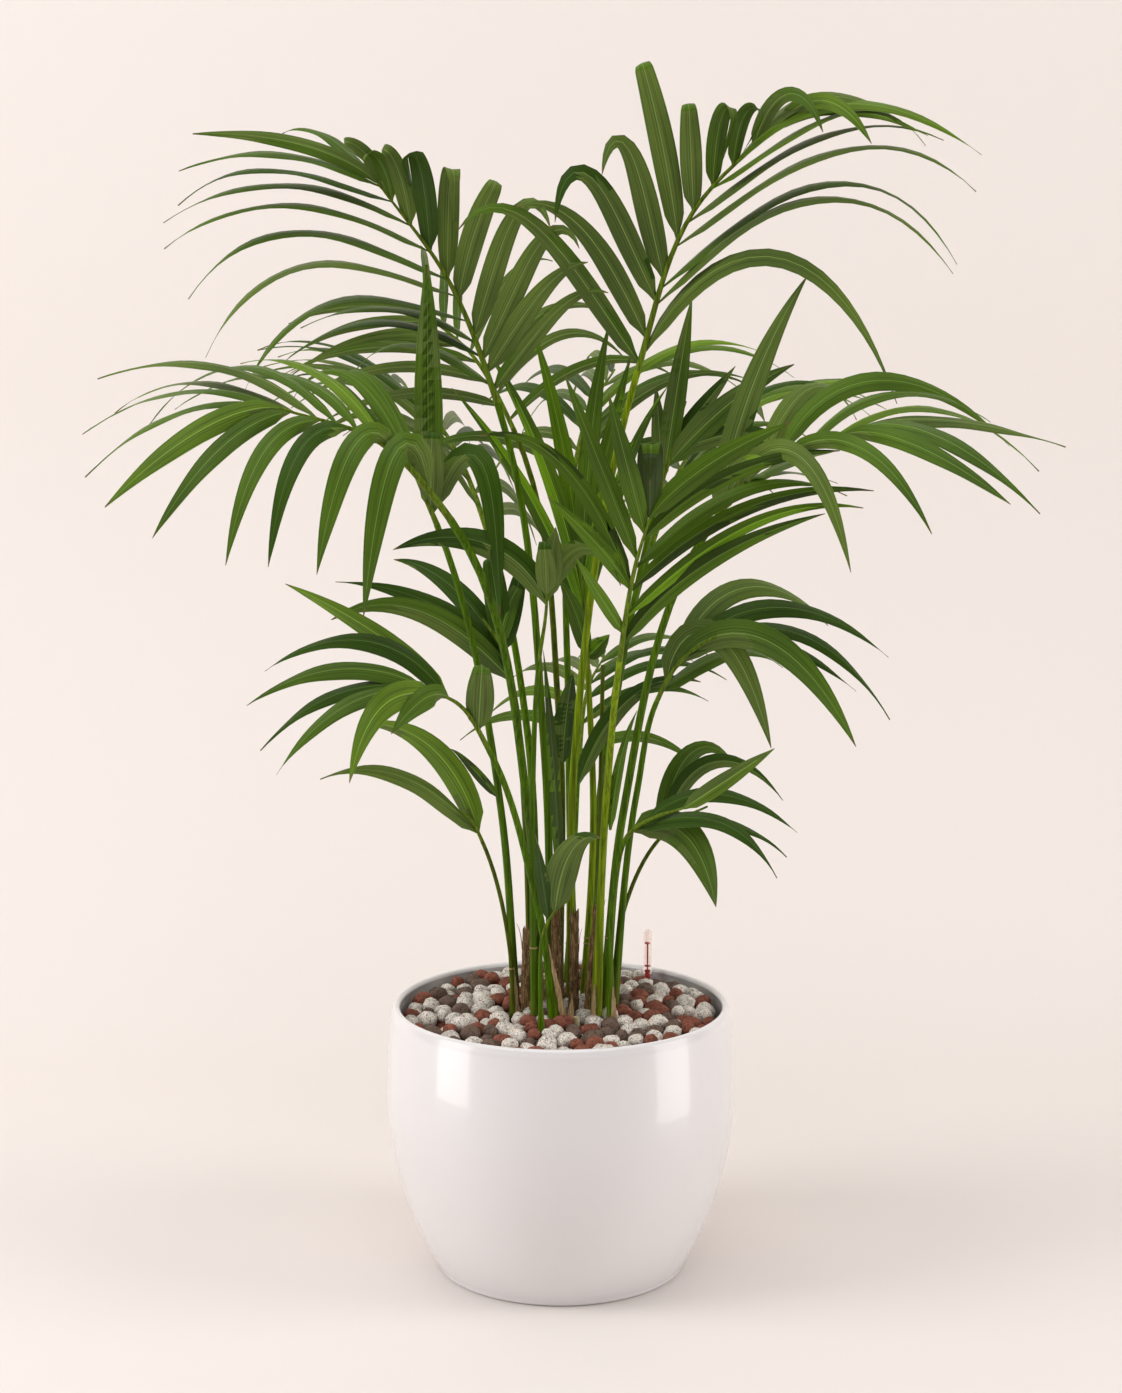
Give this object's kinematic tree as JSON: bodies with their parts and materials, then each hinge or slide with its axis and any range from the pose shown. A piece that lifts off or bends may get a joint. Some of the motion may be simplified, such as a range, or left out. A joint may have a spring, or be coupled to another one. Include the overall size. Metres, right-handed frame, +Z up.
{
  "type": "potted kentia palm",
  "caption": "Clump-grown palm with feathery arching fronds in a round glossy planter of clay granulate.",
  "frame": {"origin": "centre of the planter's flat underside", "axes": "+Z up from the underside towards the frond tips; the plant's front looks along -Y; +X is to the right seen from the front"},
  "size_m": [0.9427, 0.8388, 1.2208],
  "materials": {
    "glaze": "glossy white glaze",
    "granulate": "rough fired clay and lava granules in light grey, dark grey and red-brown",
    "indicator": "clear tube with a red float rod",
    "old_sheath": "dry brown fibrous sheath",
    "petiole": "smooth mid green stem, a little glossy",
    "leaf": "satin dark green blade with fine parallel veins",
    "young_leaf": "satin bright yellow-green blade with fine parallel veins"
  },
  "bodies": {
    "root": {"cut_petiole": "old_sheath", "frond_back_left_tall": "leaf", "frond_centre_bright": "young_leaf", "frond_centre_upright": "young_leaf", "frond_front_dark": "leaf", "frond_front_low_leaf": "leaf", "frond_left_behind": "leaf", "frond_low_far_left": "leaf", "frond_low_left": "leaf", "frond_low_right": "leaf", "frond_low_right_behind": "leaf", "frond_middle_left": "leaf", "frond_middle_left_small": "leaf", "frond_middle_right": "leaf", "frond_rear_left": "leaf", "frond_rear_low": "leaf", "frond_rear_right": "leaf", "frond_rear_tall": "leaf", "frond_right_behind": "leaf", "frond_right_middle": "leaf", "frond_upper_left": "leaf", "frond_upper_right": "leaf", "granulate": "granulate", "petiole_back_left_tall": "petiole", "petiole_centre_bright": "petiole", "petiole_centre_upright": "petiole", "petiole_front_dark": "petiole", "petiole_front_low_leaf": "petiole", "petiole_left_behind": "petiole", "petiole_low_far_left": "petiole", "petiole_low_left": "petiole", "petiole_low_right": "petiole", "petiole_low_right_behind": "petiole", "petiole_middle_left": "petiole", "petiole_middle_left_small": "petiole", "petiole_middle_right": "petiole", "petiole_rear_left": "petiole", "petiole_rear_low": "petiole", "petiole_rear_right": "petiole", "petiole_rear_tall": "petiole", "petiole_right_behind": "petiole", "petiole_right_middle": "petiole", "petiole_upper_left": "petiole", "petiole_upper_right": "petiole", "pot": "glaze", "stub_inner": "old_sheath", "stub_left": "old_sheath", "stub_middle": "old_sheath", "stub_right": "old_sheath", "water_indicator": "indicator"}
  },
  "joints": []
}
